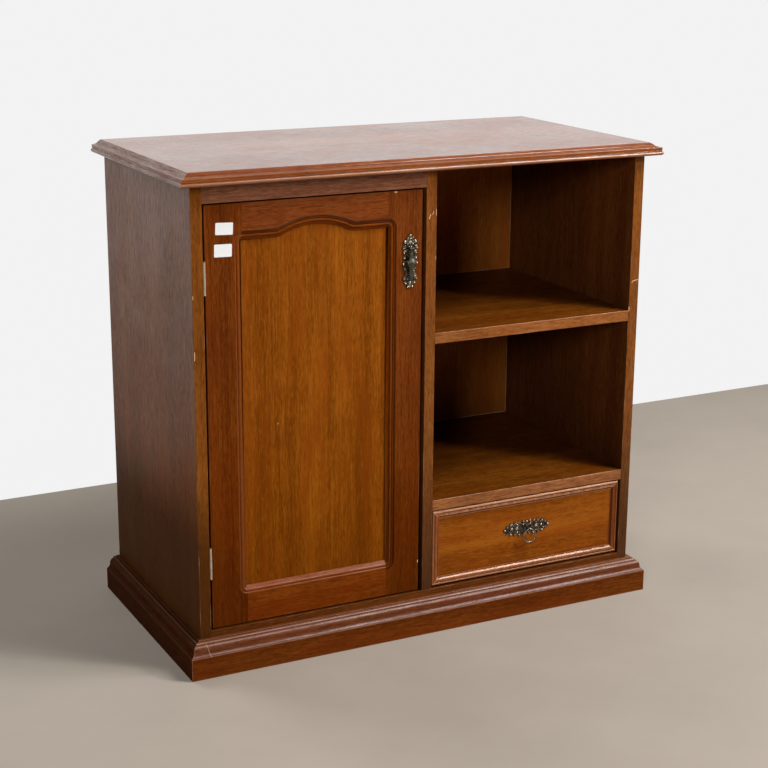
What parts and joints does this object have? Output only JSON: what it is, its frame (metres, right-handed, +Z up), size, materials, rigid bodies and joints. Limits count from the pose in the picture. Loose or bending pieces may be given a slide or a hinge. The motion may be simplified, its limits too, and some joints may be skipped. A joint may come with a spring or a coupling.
{
  "type": "cabinet",
  "caption": "Low wooden cabinet with an arched panel door, open bays, a drawer with a ring pull, a moulded top and a moulded plinth.",
  "frame": {"origin": "middle of the footprint's box, at floor level", "axes": "+X to the right along the front, +Y to the back, +Z up; the front faces -Y"},
  "size_m": [0.848, 0.424, 0.79],
  "materials": {
    "stained_hardwood": "satin red-brown stain",
    "veneered_board": "satin stained veneer, upright grain",
    "top_veneer": "satin stained veneer, worn",
    "panel_veneer": "satin golden-brown veneer",
    "shelf_veneer": "satin golden-brown veneer",
    "plywood": "thin lacquered plywood",
    "plain_wood": "unstained planed wood",
    "antique_brass": "antiqued, darkened in the hollows",
    "plated_steel": "dull plated",
    "catch_plastic": "matt brown"
  },
  "bodies": {
    "cabinet": {"back_panel": "plywood", "base_corner_blocks": "plain_wood", "base_rail_back": "plain_wood", "base_rail_front": "plain_wood", "bottom_board": "shelf_veneer", "divider": "veneered_board", "door_head_rail": "stained_hardwood", "drawer_runner_left": "plain_wood", "drawer_runner_right": "plain_wood", "drawer_shelf": "shelf_veneer", "hinge_frame_leaves": "plated_steel", "hinge_frame_screws": "plated_steel", "hinge_pins": "plated_steel", "inner_shelf": "shelf_veneer", "magnetic_catch": "catch_plastic", "plinth_front": "stained_hardwood", "plinth_left": "stained_hardwood", "plinth_right": "stained_hardwood", "shelf_batten_left": "plain_wood", "shelf_batten_right": "plain_wood", "side_panel_left": "veneered_board", "side_panel_right": "veneered_board", "top_board": "top_veneer", "top_moulding_front": "stained_hardwood", "top_moulding_left": "stained_hardwood", "top_moulding_right": "stained_hardwood", "upper_shelf": "shelf_veneer"},
    "door": {"catch_strike_plate": "plated_steel", "door_panel": "panel_veneer", "door_pull_nut": "plated_steel", "door_pull_pin": "antique_brass", "door_pull_plate": "antique_brass", "door_pull_post": "antique_brass", "door_rail_bottom": "stained_hardwood", "door_rail_top": "stained_hardwood", "door_stile_hinge": "stained_hardwood", "door_stile_lock": "stained_hardwood", "hinge_door_leaves": "plated_steel", "hinge_door_screws": "plated_steel"},
    "door_drop": {"door_pull_drop": "antique_brass"},
    "drawer": {"drawer_back": "plain_wood", "drawer_bead_bottom": "stained_hardwood", "drawer_bead_left": "stained_hardwood", "drawer_bead_right": "stained_hardwood", "drawer_bead_top": "stained_hardwood", "drawer_bottom": "plywood", "drawer_front": "panel_veneer", "drawer_pull_nut": "plated_steel", "drawer_pull_plate": "antique_brass", "drawer_pull_post": "antique_brass", "drawer_side_left": "plain_wood", "drawer_side_right": "plain_wood"},
    "drawer_ring": {"drawer_pull_ring": "antique_brass"}
  },
  "joints": [
    {"name": "door_swing", "type": "hinge", "parent": "cabinet", "child": "door", "pos_m": [-0.3797, -0.1865, 0.40475], "axis": [0, 0, -1], "range_deg": [0, 175]},
    {"name": "drawer_slide", "type": "slide", "parent": "cabinet", "child": "drawer", "axis": [0, -1, 0], "range_m": [0, 0.28]},
    {"name": "door_drop_swing", "type": "hinge", "parent": "door", "child": "door_drop", "pos_m": [-0.036, -0.191, 0.648], "axis": [-1, 0, 0], "range_deg": [-3, 150]},
    {"name": "drawer_ring_swing", "type": "hinge", "parent": "drawer", "child": "drawer_ring", "pos_m": [0.1955, -0.193, 0.1445], "axis": [-1, 0, 0], "range_deg": [-15, 150]}
  ]
}
